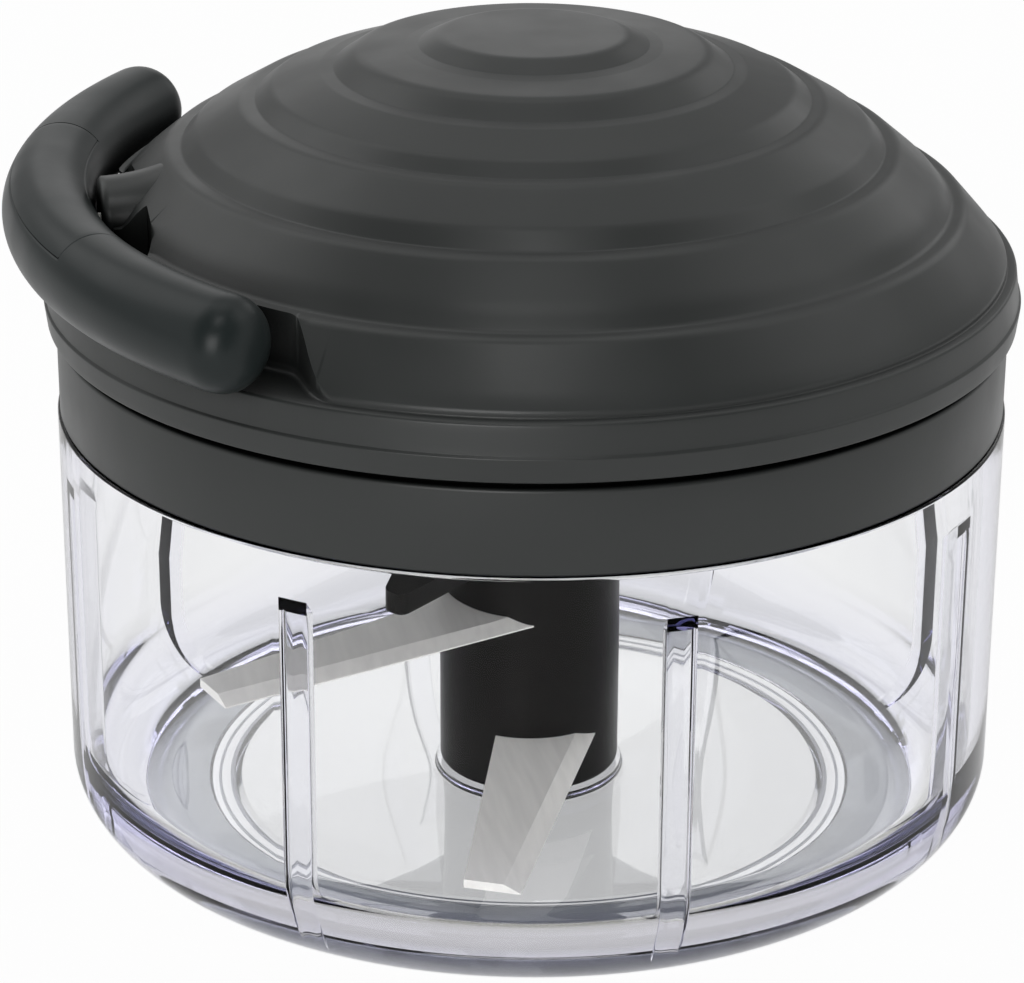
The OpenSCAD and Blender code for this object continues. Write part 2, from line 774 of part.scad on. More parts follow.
// Flat blade with a bevel ground along its cutting edge
module blade(z) {
    root = blade_plan[2];
    tip = blade_plan[3];
    way = tip - root;
    translate([0, 0, z])
        difference() {
            linear_extrude(blade_t) polygon(blade_plan);
            translate([root[0], root[1], 0])
                rotate([0, 0, atan2(way[1], way[0])])
                    rotate([90, 0, 90])
                        translate([0, 0, -2 * bevel_w])
                            linear_extrude(norm(way) + 4 * bevel_w)
                                polygon([
                                    [0, 0.15 * blade_t], [-bevel_w, blade_t], [-bevel_w, 2 * blade_t],
                                    [bevel_w, 2 * blade_t], [bevel_w, 0.15 * blade_t]
                                ]);
        }
}

module upper_blade() {
    color(steel) at_azimuth(lower_turn - blade_step) blade(upper_z);
}

module lower_blade() {
    color(steel) at_azimuth(lower_turn) blade(lower_z);
}

// Swept plastic wing with a soft tip, seated on the shaft
module stir_wing() {
    tip_az = -29;
    tip = wing_reach * [sin(tip_az), -cos(tip_az)];
    color(black_plastic)
        at_azimuth(lower_turn)
            translate([0, 0, wing_z])
                difference() {
                    linear_extrude(wing_t)
                        polygon(rounded([
                            [0, -shaft_r + 2, 0],
                            [shaft_r * 0.05, -shaft_r, 0],
                            [tip[0] + 1.2, tip[1] - 0.6, 1.2],
                            [tip[0] - 1.2, tip[1] + 1.4, 1.6],
                            [-shaft_r - 1.8, -6, 4],
                            [-shaft_r + 1, 0, 0],
                            [-shaft_r + 4, -1, 0]
                        ]));
                    translate([0, 0, -1]) cylinder(r = shaft_r, h = wing_t + 2, $fn = 180);
                }
}

module blade_shaft() {
    color(black_plastic)
        difference() {
            turned([
                [0, shaft_z, 0], [shaft_r, shaft_z, 0.8], [shaft_r, shaft_top, 1.2], [0, shaft_top, 0]
            ]);
            translate([0, 0, shaft_z - 1]) cylinder(r = pin_r + running_gap, h = pin_top - shaft_z + 1.5, $fn = 64);
            translate([0, 0, socket_z])
                cylinder(r = socket_w / sqrt(3), h = shaft_top - socket_z + cut_past, $fn = 6);
            upper_blade();
            lower_blade();
        }
}

bowl();
non_slip_ring();
pivot_pin();
lid_base();
lid_seal();
dome_cover();
cord_eyelet();
spring_arbor();
recoil_spring();
lid_screw(0);  // lid_screw_1
lid_screw(1);  // lid_screw_2
lid_screw(2);  // lid_screw_3
lid_screw(3);  // lid_screw_4
cord_run();
cord_spool();
spool_cap();
cord_winding();
drive_dog();
grip_upper();
grip_lower();
handle_end_front();
handle_end_back();
cord_knot();
cord_lead();
blade_shaft();
upper_blade();
lower_blade();
stir_wing();
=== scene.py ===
"""Looks of a food chopper driven by a pull cord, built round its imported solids.

Sizes are in millimetres until a mesh is made. Angles among the values are in degrees, unless a comment
says otherwise. Azimuths are counted from the front (-Y) towards +X.
"""

import json
import math

import bmesh
import bpy
import numpy as np
from mathutils import Matrix, Vector


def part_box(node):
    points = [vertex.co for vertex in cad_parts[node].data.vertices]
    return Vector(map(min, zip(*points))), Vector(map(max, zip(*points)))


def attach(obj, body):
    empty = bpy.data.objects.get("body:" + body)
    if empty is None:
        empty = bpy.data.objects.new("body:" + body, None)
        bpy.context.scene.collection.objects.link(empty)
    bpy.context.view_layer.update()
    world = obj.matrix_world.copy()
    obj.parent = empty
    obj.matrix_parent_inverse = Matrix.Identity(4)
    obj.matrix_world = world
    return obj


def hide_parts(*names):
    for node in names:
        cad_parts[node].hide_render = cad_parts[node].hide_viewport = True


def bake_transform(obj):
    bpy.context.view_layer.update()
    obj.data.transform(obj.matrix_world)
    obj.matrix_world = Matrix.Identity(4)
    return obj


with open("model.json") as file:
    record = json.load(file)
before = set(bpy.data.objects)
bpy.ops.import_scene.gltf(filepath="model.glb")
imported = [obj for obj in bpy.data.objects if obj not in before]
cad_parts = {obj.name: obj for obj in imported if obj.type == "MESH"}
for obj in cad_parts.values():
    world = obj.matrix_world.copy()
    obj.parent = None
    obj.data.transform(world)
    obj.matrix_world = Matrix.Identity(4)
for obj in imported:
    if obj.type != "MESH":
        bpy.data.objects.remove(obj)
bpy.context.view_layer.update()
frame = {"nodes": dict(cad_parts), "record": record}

MM = 0.001


def box_mm(node):
    """Lowest and highest corner of a CAD node, in millimetres."""
    low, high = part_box(node)
    return low / MM, high / MM


# Bowl: heights and radii from the frame, and the wall and ribs of its section
bowl_low, bowl_high = box_mm("bowl")
pad_high = box_mm("non_slip_ring")[1]
lid_low, lid_high = box_mm("lid_base")
BOWL_R = bowl_high.x
BASE_Z = bowl_low.z
NECK_TOP = bowl_high.z
BOWL_H = lid_low.z
PAD_T = pad_high.z
PAD_OUT = pad_high.x
PAD_W = 9.5
PAD_IN = PAD_OUT - PAD_W
PAD_GAP = 0.06
PAD_LIPS = ((PAD_IN - 1.3, 0.2), (PAD_IN - 3.0, 0.3))  # radius and half width of each lip
LIP_Z = 0.2
FLOOR_Z = PAD_T + 0.8
BOWL_WALL = 2.2
INNER_R = BOWL_R - BOWL_WALL
FOOT_ROUND = 8
FLOOR_FILLET = 12
HOLLOW_R = PAD_IN - 3.3
BASE_HOLLOW = 0.5
BOSS_R = 13
BOSS_TOP = FLOOR_Z + 0.8
RIB_N = 8
RIB_W = 3.9
RIB_D = 1.8
RIB_EDGE = 0.45
RIB_TOP = 51.3
RIB_DROP = 2.3
RIB_SINK = 2
RIB_TURN = 5.7

# Fineness of the bowl's mesh; the shares are of a rib's rounded edge and of half a rib's width
RIB_EDGE_SHARES = (0, 0.03, 0.15, 0.35, 0.6, 1)
RIB_TOP_SHARES = (-0.35, 0, 0.35)
BETWEEN_RIBS = 46
FILLET_ROWS = 40
WALL_ROWS = 12
SLOPE_ROWS = 8
FOOT_ROWS = 28
BOWL_GAP = 6
RING_COLUMNS = 256

# Lid base: ring, plate, plug and bearing
RING_R = lid_high.x
RING_WALL = 1.3
SLIDE_GAP = 0.3
NECK_R = RING_R - RING_WALL - SLIDE_GAP
NECK_IN = NECK_R - 1.4
PLATE_Z = NECK_TOP + SLIDE_GAP
PLATE_TOP = box_mm("dome_cover")[0].z
PLUG_R = NECK_IN - 0.8
PLUG_WALL = 1.8
PLUG_H = 6
SEAL_GROOVE = 0.8
SEAL_H = 2.4
HUB_R = 7.75
HUB_Z = box_mm("cord_spool")[0].z
BEARING_R = 10.5
THRUST_Z = PLATE_TOP + 2.6

# Dome: the edges of its steps, its shoulder and its skirt
dome_high = box_mm("dome_cover")[1]
DOME_R = dome_high.x
DOME_WALL = 2.2
STEP_R = (12.2, 22.8, 34, 43.9, 52.9)
STEP_Z = (36.6, 34.5, 30, 24.6, 17.8)
RISER_W = (2.8, 3.2, 2.2, 2, 1.9)
RISER_H = (1.4, 2.2, 1.7, 2.2, 2.4)
STEP_LEDGE = 1.8
LEDGE_FALL = 0.25
TOP_CROWN = 0.3
EDGE_ROUND = 3.5
RISER_ROUND = 0.7
LEDGE_ROUND = 3
DOME_GAP = 1
DOME_Z = dome_high.z - STEP_Z[0] - TOP_CROWN
RING_TOP = DOME_Z - 1.1
SHOULDER_IN = 3.2
SHOULDER_Z = 9.8
LEDGE_Z = 7.5
SKIRT_LINE_Z = 3.2

# Where the recess may begin on the last step's tread, and where the shoulder and the recess's wall end
CUT_R = STEP_R[-1] - 2.4
SHOULDER_END = DOME_R - 1.5
WALL_MAX = SHOULDER_END - 0.6

# How far each corner is cut back from the last step's edge to the floor of the handle's recess
SHOULDER_CUTS = (1.3, 0.5, 1.2, 1.2, 0.7, 1.2)

# Handle: a tube on an arc about a point on the X axis, over a recess in the dome
GRIP_LOW, GRIP_HIGH = box_mm("grip_lower")[0], box_mm("grip_upper")[1]
HANDLE_R = (GRIP_HIGH.z - GRIP_LOW.z) / 2
GRIP_Z = (GRIP_HIGH.z + GRIP_LOW.z) / 2
HANDLE_AT = -GRIP_LOW.x - HANDLE_R
HANDLE_ARC = 79.3
ARC_X = HANDLE_ARC - HANDLE_AT
HANDLE_HALF = 37.2
CAP_L = 5.4
SEAM_HALF = 17.5
SEAM_Z = 3.6
SEAM_GAP = 0.05
SEAM_EDGE_IN = 0.25
SEAM_EDGE_TURN = 0.03  # radians
CAP_POWER = 2.3
RECESS_R = HANDLE_AT - HANDLE_R - 1.2
RECESS_END = (47, 56.5)
LEDGE_TOP = DOME_Z + LEDGE_Z

# Ends of the handle's cover: distance from the seam, and how far the section is drawn in there
SEAM_STEPS = ((0, 0.25), (0.06, 0.1), (0.16, 0.02), (0.3, 0))

# Finger hollows on both sides of the nozzle, with a soft start and end
FINGER_D = 4.5
FINGER_W = 12
FINGER_TURN = 60
FINGER_START = 1.8
FINGER_FADE = 5
FINGER_PAST = 1.5

# Nozzle, flared towards the dome, and the cord in it
NOZZLE_R = 5.6
NOZZLE_CLEAR = 0.6
NOZZLE_ROOT = 45
NOZZLE_FLARE = 1.6
NOZZLE_FLARE_AT = 47.5
NOZZLE_LIP = 0.4
NOZZLE_END = HANDLE_AT - HANDLE_R - SLIDE_GAP
EYELET_R = 2.7
CORD_R = 0.9
CORD_IN_NOZZLE = 6
CORD_IN_HANDLE = 2


# Paths and meshes

# A rounding takes up at most this share of a side, and corners flatter than this half angle stay as they are
CORNER_SHARE = 0.45
STRAIGHT = math.radians(89.5)  # radians


def corner(a, b, c, radius, steps):
    """Points that round corner b, between its neighbours a and c."""
    u = (a - b).normalized()
    v = (c - b).normalized()
    half = math.acos(max(-1, min(1, u.dot(v)))) / 2
    if radius == 0 or half > STRAIGHT:
        return [b]
    room = CORNER_SHARE * min((a - b).length, (c - b).length)
    cut = min(room, radius / math.tan(half))
    arm = cut * math.tan(half)
    centre = b + (u + v).normalized() * arm / math.sin(half)
    start = b + u * cut - centre
    side = 1 if u.x * v.y - u.y * v.x > 0 else -1
    sweep = math.pi - 2 * half
    return [centre + Matrix.Rotation(-side * sweep * i / steps, 2) @ start for i in range(steps + 1)]


def rounded(path, steps=6, closed=True):
    """Path of (x, y, corner radius) points with its corners rounded, as a list of vectors."""
    points = [Vector(p[:2]) for p in path]
    made = []
    for i, p in enumerate(path):
        radius = p[2] if len(p) > 2 else 0
        if not closed and i in (0, len(path) - 1):
            radius = 0
        made += corner(points[i - 1], points[i], points[(i + 1) % len(path)], radius, steps)
    return made


def filled(points, gap):
    """Points of an open path with more put in, so that none lies further than a gap from the next."""
    made = [points[0]]
    for a, b in zip(points, points[1:]):
        n = max(1, math.ceil((b - a).length / gap))
        made += [a.lerp(b, (i + 1) / n) for i in range(n)]
    return np.array([tuple(p) for p in made])


def grid_faces(rows, columns, wrap_rows=False):
    """Quads between the points of a grid that is stored row after row; each row is a ring."""
    faces = []
    for i in range(rows if wrap_rows else rows - 1):
        k = (i + 1) % rows
        for j in range(columns):
            m = (j + 1) % columns
            faces.append((i * columns + j, i * columns + m, k * columns + m, k * columns + j))
    return faces


def turned(path, angles):
    """Vertices of a path of (radius, height) points turned about the Z axis to each angle."""
    path = np.asarray(path)
    r, z = path[:, :1], path[:, 1:]
    return np.stack([r * np.cos(angles), r * np.sin(angles), z + 0 * r * angles], -1)


def loop_mesh(points):
    """Vertices and faces of a surface whose rows close round a ring and back on themselves."""
    rows, columns = points.shape[:2]
    return points.reshape(-1, 3), grid_faces(rows, columns, wrap_rows=True)


def capped_mesh(points):
    """Vertices and faces of a surface of rings, closed by a point at the middle of each end."""
    rows, columns = points.shape[:2]
    ends = np.array([points[0].mean(0), points[-1].mean(0)])
    verts = np.concatenate([points.reshape(-1, 3), ends])
    faces = grid_faces(rows, columns)
    first, last = rows * columns, rows * columns + 1
    base = (rows - 1) * columns
    for j in range(columns):
        m = (j + 1) % columns
        faces.append((first, m, j))
        faces.append((last, base + j, base + m))
    return verts, faces


def joined(*parts):
    """Several (vertices, faces) as one."""
    verts, faces = [], []
    start = 0
    for v, f in parts:
        verts.append(v)
        faces += [tuple(i + start for i in face) for face in f]
        start += len(v)
    return np.concatenate(verts), faces


def outward(mesh):
    """Joins points that fall together, and turns the faces of each closed part of a mesh outwards."""
    b = bmesh.new()
    b.from_mesh(mesh)
    bmesh.ops.remove_doubles(b, verts=b.verts, dist=0.001 * MM)
    bmesh.ops.recalc_face_normals(b, faces=b.faces)
    b.to_mesh(mesh)
    b.free()


def new_piece(name, shape, material, sharp=None):
    """Smooth mesh object from vertices in millimetres and faces."""
    verts, faces = shape
    mesh = bpy.data.meshes.new(name)
    mesh.from_pydata((np.asarray(verts) * MM).tolist(), [], faces)
    outward(mesh)
    mesh.shade_smooth()
    if sharp:
        mesh.set_sharp_from_angle(angle=math.radians(sharp))
    mesh.materials.append(material)
    obj = bpy.data.objects.new(name, mesh)
    bpy.context.scene.collection.objects.link(obj)
    return obj


def stand_for(obj, body, slot, *nodes):
    """The piece rides on a body and stands for CAD nodes; the slot is not used."""
    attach(obj, body)
    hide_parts(*nodes)


def smooth(t):
    """Smooth step from 0 to 1."""
    t = np.clip(t, 0, 1)
    return t * t * (3 - 2 * t)


def full_turn(columns):
    """Evenly spaced angles round a full turn."""
    return np.linspace(0, 2 * math.pi, columns, endpoint=False)


# Materials

# Painted shade in the crevices of the dark plastics: how far a crevice is felt, and how dark and dull the
# painted shade makes it
PAINTED_SHADE_REACH = 10
PAINTED_SHADE_SPAN = (0.28, 0.75)
PAINTED_CREVICE_SHADE = 0.1
GLOSS_IN_PAINTED_SHADE = 0.05

# Painted shadow and shade on the bowl by place, the tint of its shadow and of the light's way through it,
# and the painted shade at the front of the non-slip ring
FOOT_H = 10
FLOOR_PAINTED_SHADOW = (0.84, 0.85, 0.84)
MIDDLE_PAINTED_SHADOW = (0.71, 0.715, 0.705)
FOOT_FRONT_PAINTED_SHADE = (0.56, 0.56, 0.46)
SHADOW_TINT = (0.93, 0.93, 0.94)
DEPTH_TINT = (0.36, 0.34, 0.80)
DEPTH_DENSITY = 34
PAD_FRONT_PAINTED_SHADE = 0.52


def set_stops(ramp, stops):
    """Gives a colour ramp node its stops, each as (position, colour)."""
    elements = ramp.color_ramp.elements
    while len(elements) < len(stops):
        elements.new(0.5)
    for element, (position, colour) in zip(elements, stops):
        element.position = position
        element.color = (*colour, 1)


class Shader:
    """A material with one Principled node, and short calls for the nodes that drive it."""

    def __init__(self, name, **values):
        self.material = bpy.data.materials.new(name)
        self.material.use_nodes = True
        self.tree = self.material.node_tree
        self.main = self.tree.nodes["Principled BSDF"]
        self.place = self.node("ShaderNodeTexCoord").outputs["Object"]
        for key, value in values.items():
            self.main.inputs[key.replace("_", " ")].default_value = value

    def node(self, kind, **settings):
        """A new node with its settings."""
        made = self.tree.nodes.new(kind)
        for key, value in settings.items():
            setattr(made, key, value)
        return made

    def link(self, a, b):
        """Links output a to input b."""
        self.tree.links.new(a, b)

    def noise(self, scale, detail=3, stretch=(1, 1, 1)):
        """Noise from 0 to 1; stretch scales the place along each axis."""
        mapping = self.node("ShaderNodeMapping")
        mapping.inputs["Scale"].default_value = stretch
        self.link(self.place, mapping.inputs["Vector"])
        made = self.node("ShaderNodeTexNoise")
        made.inputs["Scale"].default_value = scale
        made.inputs["Detail"].default_value = detail
        self.link(mapping.outputs[0], made.inputs["Vector"])
        return made.outputs["Fac"]

    def ramp(self, factor, *stops):
        """Colours over a factor; each stop is (position, colour)."""
        made = self.node("ShaderNodeValToRGB")
        set_stops(made, stops)
        self.link(factor, made.inputs["Fac"])
        return made.outputs["Color"]

    def span(self, factor, low, high, start=0.3, end=0.7):
        """A number from low to high as the factor goes from start to end."""
        made = self.node("ShaderNodeMapRange")
        for key, value in (("From Min", start), ("From Max", end), ("To Min", low), ("To Max", high)):
            made.inputs[key].default_value = value
        self.link(factor, made.inputs["Value"])
        return made.outputs["Result"]

    def openness(self, reach):
        """How open a place is within a reach in millimetres, from 0 in a crevice to 1."""
        made = self.node("ShaderNodeAmbientOcclusion", samples=8)
        made.inputs["Distance"].default_value = reach * MM
        return made.outputs["AO"]

    def product(self, a, b):
        """Two numbers multiplied."""
        made = self.node("ShaderNodeMath", operation="MULTIPLY")
        self.link(a, made.inputs[0])
        self.link(b, made.inputs[1])
        return made.outputs[0]

    def axes(self):
        """The place split into X, Y and Z."""
        made = self.node("ShaderNodeSeparateXYZ")
        self.link(self.place, made.inputs[0])
        return made.outputs

    def radius(self, axes):
        """Distance from the Z axis."""
        flat = self.node("ShaderNodeCombineXYZ")
        self.link(axes["X"], flat.inputs["X"])
        self.link(axes["Y"], flat.inputs["Y"])
        made = self.node("ShaderNodeVectorMath", operation="LENGTH")
        self.link(flat.outputs[0], made.inputs[0])
        return made.outputs["Value"]

    def mixed(self, factor, under, over):
        """The colour that comes in as under, turned to the colour over as the factor goes to 1."""
        made = self.node("ShaderNodeMixRGB")
        made.inputs["Color2"].default_value = (*over, 1)
        self.link(factor, made.inputs["Fac"])
        self.link(under, made.inputs["Color1"])
        return made.outputs["Color"]

    def colour(self, socket):
        """Drives the base colour."""
        self.link(socket, self.main.inputs["Base Color"])

    def roughness(self, socket):
        """Drives the roughness."""
        self.link(socket, self.main.inputs["Roughness"])

    def bump(self, height, distance):
        """Bump of the given height in millimetres."""
        made = self.node("ShaderNodeBump")
        made.inputs["Strength"].default_value = 1.0
        made.inputs["Distance"].default_value = distance * MM
        self.link(height, made.inputs["Height"])
        self.link(made.outputs["Normal"], self.main.inputs["Normal"])


def shade(colour, share):
    """The colour made lighter or darker by a share."""
    return tuple(c * share for c in colour)


def moulded(name, colour, rough, grain, gloss):
    """Satin moulded plastic with faint clouds and a fine grain, and painted shade that makes it dark and
    dull in crevices.
    """
    s = Shader(name)
    clouds = s.noise(35)
    # Painted shade: the colour goes dark and the gloss drops where the occlusion finds a crevice
    open_share = s.openness(PAINTED_SHADE_REACH)
    plain = s.ramp(clouds, (0.3, shade(colour, 0.93)), (0.7, shade(colour, 1.07)))
    s.colour(s.mixed(s.span(open_share, 1, 0, *PAINTED_SHADE_SPAN), plain, shade(colour, PAINTED_CREVICE_SHADE)))
    level = s.span(open_share, GLOSS_IN_PAINTED_SHADE * gloss, gloss, *PAINTED_SHADE_SPAN)
    s.link(level, s.main.inputs["Specular IOR Level"])
    s.roughness(s.span(s.noise(90, 4), rough - 0.04, rough + 0.04))
    s.bump(s.noise(2600, 2), grain)
    return s.material


def brushed(name, colour, rough, stretch, metal):
    """Brushed steel; its fine lines run along the axis whose share in stretch is small."""
    s = Shader(name, Metallic=metal)
    lines = s.noise(900, 3, stretch)
    s.colour(s.ramp(lines, (0.3, shade(colour, 0.94)), (0.7, shade(colour, 1.04))))
    s.roughness(s.span(s.noise(60), rough - 0.05, rough + 0.05))
    s.bump(lines, 0.004)
    return s.material


def bowl_colour(s, axes, height):
    """Colour of the clear plastic, greyer by painted shadow in the floor and in its middle, and by painted
    shade at the front of the foot.
    """
    body = s.ramp(s.noise(30), (0.3, (0.985, 0.99, 0.955)), (0.7, (0.995, 1.0, 0.965)))
    across = s.radius(axes)
    low = s.span(height, 1, 0, 0.3, 0.5)
    # Painted shadow: the floor turns grey, and its middle greyer still, for the shadow that lies under the
    # bowl and its shaft
    floor = s.mixed(low, body, FLOOR_PAINTED_SHADOW)
    middle = s.product(low, s.span(across, 1, 0, HOLLOW_R * MM, PAD_IN * MM))
    floor = s.mixed(middle, floor, MIDDLE_PAINTED_SHADOW)
    # Painted shade: the front of the foot turns darker
    front = s.span(axes["Y"], 1, 0, -INNER_R * MM / 2, 0)
    outside = s.span(across, 0, 1, (PAD_OUT - 1) * MM, (PAD_OUT + 2) * MM)
    foot = s.product(front, s.product(outside, s.span(height, 1, 0, 0.5, 0.9)))
    return s.mixed(foot, floor, FOOT_FRONT_PAINTED_SHADE)


def pass_shadow_rays(s, out):
    """Lets shadow rays through, a little dimmed, so that the lamps reach what stands inside."""
    clear = s.node("ShaderNodeBsdfTransparent")
    clear.inputs["Color"].default_value = (*SHADOW_TINT, 1)
    mix = s.node("ShaderNodeMixShader")
    s.link(s.node("ShaderNodeLightPath").outputs["Is Shadow Ray"], mix.inputs["Fac"])
    s.link(s.main.outputs[0], mix.inputs[1])
    s.link(clear.outputs[0], mix.inputs[2])
    s.link(mix.outputs[0], out.inputs["Surface"])


def clear_plastic():
    """Clear plastic with a cool tint that shows where the light has a long way through it.

    The floor is glossier than the wall.
    """
    s = Shader("clear_plastic", Roughness=0.0, IOR=1.5, Transmission_Weight=1.0)
    axes = s.axes()
    height = s.span(axes["Z"], 0, 1, 0, FOOT_H * MM)
    gloss = s.ramp(height, (0.45, (1, 1, 1)), (0.7, (0.1, 0.1, 0.1)))
    s.link(gloss, s.main.inputs["Specular Tint"])
    s.link(s.span(height, 1, 0, 0.4, 0.6), s.main.inputs["Coat Weight"])
    s.colour(bowl_colour(s, axes, height))
    s.roughness(s.span(s.noise(140, 4), 0.0, 0.02))
    out = s.tree.nodes["Material Output"]
    pass_shadow_rays(s, out)
    tint = s.node("ShaderNodeVolumeAbsorption")
    tint.inputs["Color"].default_value = (*DEPTH_TINT, 1)
    tint.inputs["Density"].default_value = DEPTH_DENSITY
    s.link(tint.outputs[0], out.inputs["Volume"])
    return s.material


def silicone(name, colour):
    """Soft silicone with darker patches, as where it clings to the plastic, and painted shade that darkens
    it at the front.
    """
    s = Shader(name, Roughness=0.45, IOR=1.42)
    patches = s.ramp(s.noise(38, 1), (0.60, colour), (0.64, shade(colour, 0.8)))
    # Painted shade: the ring turns darker towards the front
    front = s.span(s.axes()["Y"], 1, 0, -PAD_OUT * MM, -PAD_IN * MM / 2)
    s.colour(s.mixed(front, patches, shade(colour, PAD_FRONT_PAINTED_SHADE)))
    s.bump(s.noise(400), 0.03)
    return s.material


def braid(name, colour):
    """Cord with fine slanting strands."""
    s = Shader(name, Roughness=0.8)
    wave = s.node("ShaderNodeTexWave", wave_type="BANDS", bands_direction="DIAGONAL")
    wave.inputs["Scale"].default_value = 900
    s.link(s.place, wave.inputs["Vector"])
    s.colour(s.ramp(wave.outputs["Fac"], (0.2, shade(colour, 0.8)), (0.8, colour)))
    s.bump(wave.outputs["Fac"], 0.05)
    return s.material


CLEAR = clear_plastic()
DARK = moulded("dark_plastic", (0.036, 0.039, 0.038), 0.37, 0.006, 0.42)
HANDLE = moulded("handle_plastic", (0.017, 0.0225, 0.0225), 0.34, 0.004, 0.25)
BLACK = moulded("black_plastic", (0.005, 0.0045, 0.004), 0.32, 0.004, 0.1)
BLADE = brushed("blade_steel", (0.97, 0.955, 0.92), 0.36, (1, 0.08, 1), 0.1)
STEEL = brushed("steel", (0.6, 0.6, 0.6), 0.3, (1, 1, 0.1), 1.0)
SILICONE = silicone("silicone", (0.88, 0.92, 0.95))
CORD = braid("cord", (0.7, 0.7, 0.66))

SLOT_MATERIALS = {
    "clear_plastic": CLEAR, "silicone": SILICONE, "dark_plastic": DARK, "handle_plastic": HANDLE,
    "black_plastic": BLACK, "blade_steel": BLADE, "steel": STEEL, "cord": CORD,
}


def dress_nodes():
    """Every CAD node gets the material of its slot."""
    for part in frame["record"]["subparts"]:
        obj = frame["nodes"][part["node"]]
        obj.data.materials.clear()
        obj.data.materials.append(SLOT_MATERIALS[part["material_slot"]])


# Bowl

def rib_angles():
    """Angles round the bowl, close together at the ribs and closest at their edges."""
    half = math.degrees(RIB_W / 2 / INNER_R)
    step = 360 / RIB_N
    edge = 1 - RIB_EDGE / (RIB_W / 2) * np.array(RIB_EDGE_SHARES)
    over = half * np.concatenate([-edge, RIB_TOP_SHARES, edge[::-1]])
    between = np.linspace(half, step - half, BETWEEN_RIBS)[1:-1]
    one = np.concatenate([over, between])
    azimuths = np.concatenate([RIB_TURN + i * step + one for i in range(RIB_N)])
    return np.radians(azimuths - 90)


def rib_across(angles):
    """Distance from the middle of the nearest rib, across it."""
    step = 360 / RIB_N
    away = (np.degrees(angles) + 90 - RIB_TURN + step / 2) % step - step / 2
    return np.abs(np.radians(away)) * INNER_R


def rib_depth(across, crest):
    """Depth of a flat rib with rounded edges, at distances across it."""
    past = np.clip((across - RIB_W / 2 + RIB_EDGE) / RIB_EDGE, 0, 1)
    full = crest - RIB_EDGE * (1 - np.sqrt(1 - past * past))
    return np.where(past < 0.999, np.clip(full, 0, None), 0)


def bend_depth(turn):
    """Depth of a rib's crest in the fillet, at an angle below the level of the fillet's centre."""
    bend_r = FLOOR_FILLET - RIB_D
    s = RIB_SINK * np.sin(turn)
    bend = s + np.sqrt(s * s + bend_r * bend_r - RIB_SINK * RIB_SINK)
    wall = bend_r / np.maximum(np.cos(turn), 0.01)
    level = wall * np.sin(turn) < RIB_SINK
    return np.clip(FLOOR_FILLET - np.where(level, wall, bend), 0, None)


def bowl_inside(angles):
    """Grid of points on the bowl's inside, from the floor's middle up to the neck, ribs included."""
    across = rib_across(angles)
    centre_r = INNER_R - FLOOR_FILLET
    centre_z = FLOOR_Z + FLOOR_FILLET
    rows = []

    floor = rounded([
        (0, BOSS_TOP), (BOSS_R, BOSS_TOP, 0.3), (BOSS_R, FLOOR_Z, 0.3), (centre_r - 1, FLOOR_Z)
    ], 6, closed=False)[1:]
    rows += [(np.full_like(angles, p.x), np.full_like(angles, p.y)) for p in floor]

    for turn in np.linspace(math.pi / 2, 0, FILLET_ROWS):
        reach = FLOOR_FILLET - rib_depth(across, bend_depth(turn))
        rows.append((centre_r + reach * math.cos(turn), centre_z - reach * math.sin(turn)))

    depth = rib_depth(across, RIB_D)
    slope_z = RIB_TOP - RIB_DROP * np.where(depth > 0, depth, RIB_D) / RIB_D
    for t in np.linspace(0, 1, WALL_ROWS)[1:]:
        rows.append((INNER_R - depth, centre_z + (slope_z - centre_z) * t))
    for t in np.linspace(0, 1, SLOPE_ROWS)[1:]:
        rows.append((INNER_R - depth * (1 - t), slope_z + (RIB_TOP - slope_z) * t))

    neck = rounded([
        (INNER_R, RIB_TOP), (INNER_R, BOWL_H - 0.8, 0.3), (NECK_IN, BOWL_H + 0.2, 0.3),
        (NECK_IN, NECK_TOP, 0.5), (NECK_R, NECK_TOP)
    ], 5, closed=False)[1:-1]
    rows += [(np.full_like(angles, p.x), np.full_like(angles, p.y)) for p in neck]
    return np.array([np.stack([r * np.cos(angles), r * np.sin(angles), z], -1) for r, z in rows])


def bowl_outside():
    """Path of the bowl's outside, from the neck down to the groove of the non-slip ring and the middle."""
    wall = rounded([
        (NECK_R, NECK_TOP), (NECK_R, BOWL_H, 0.3), (BOWL_R, BOWL_H, 0.4), (BOWL_R, BASE_Z + FOOT_ROUND)
    ], 6, closed=False)[1:-1]
    centre = Vector((BOWL_R - FOOT_ROUND, BASE_Z + FOOT_ROUND))
    turns = np.linspace(0, math.pi / 2, FOOT_ROWS)
    foot = [centre + FOOT_ROUND * Vector((math.cos(t), -math.sin(t))) for t in turns]
    base = rounded([
        (BOWL_R - FOOT_ROUND, BASE_Z), (PAD_OUT, BASE_Z, 0.3), (PAD_OUT, PAD_T, 0.3), (PAD_IN, PAD_T, 0.3),
        (PAD_IN, BASE_Z, 0.3), (HOLLOW_R, BASE_Z, 0.5), (HOLLOW_R - 1, BASE_Z + BASE_HOLLOW, 0.5),
        (0, BASE_Z + BASE_HOLLOW)
    ], 6, closed=False)[1:-1]
    return filled(wall + foot + base, BOWL_GAP)


def make_bowl():
    """The clear bowl with its ribs, boss and the groove for the non-slip ring."""
    angles = rib_angles()
    points = np.concatenate([bowl_inside(angles), turned(bowl_outside(), angles)])
    obj = new_piece("bowl_shell", capped_mesh(points), CLEAR, sharp=32)
    stand_for(obj, "bowl_body", "clear_plastic", "bowl")


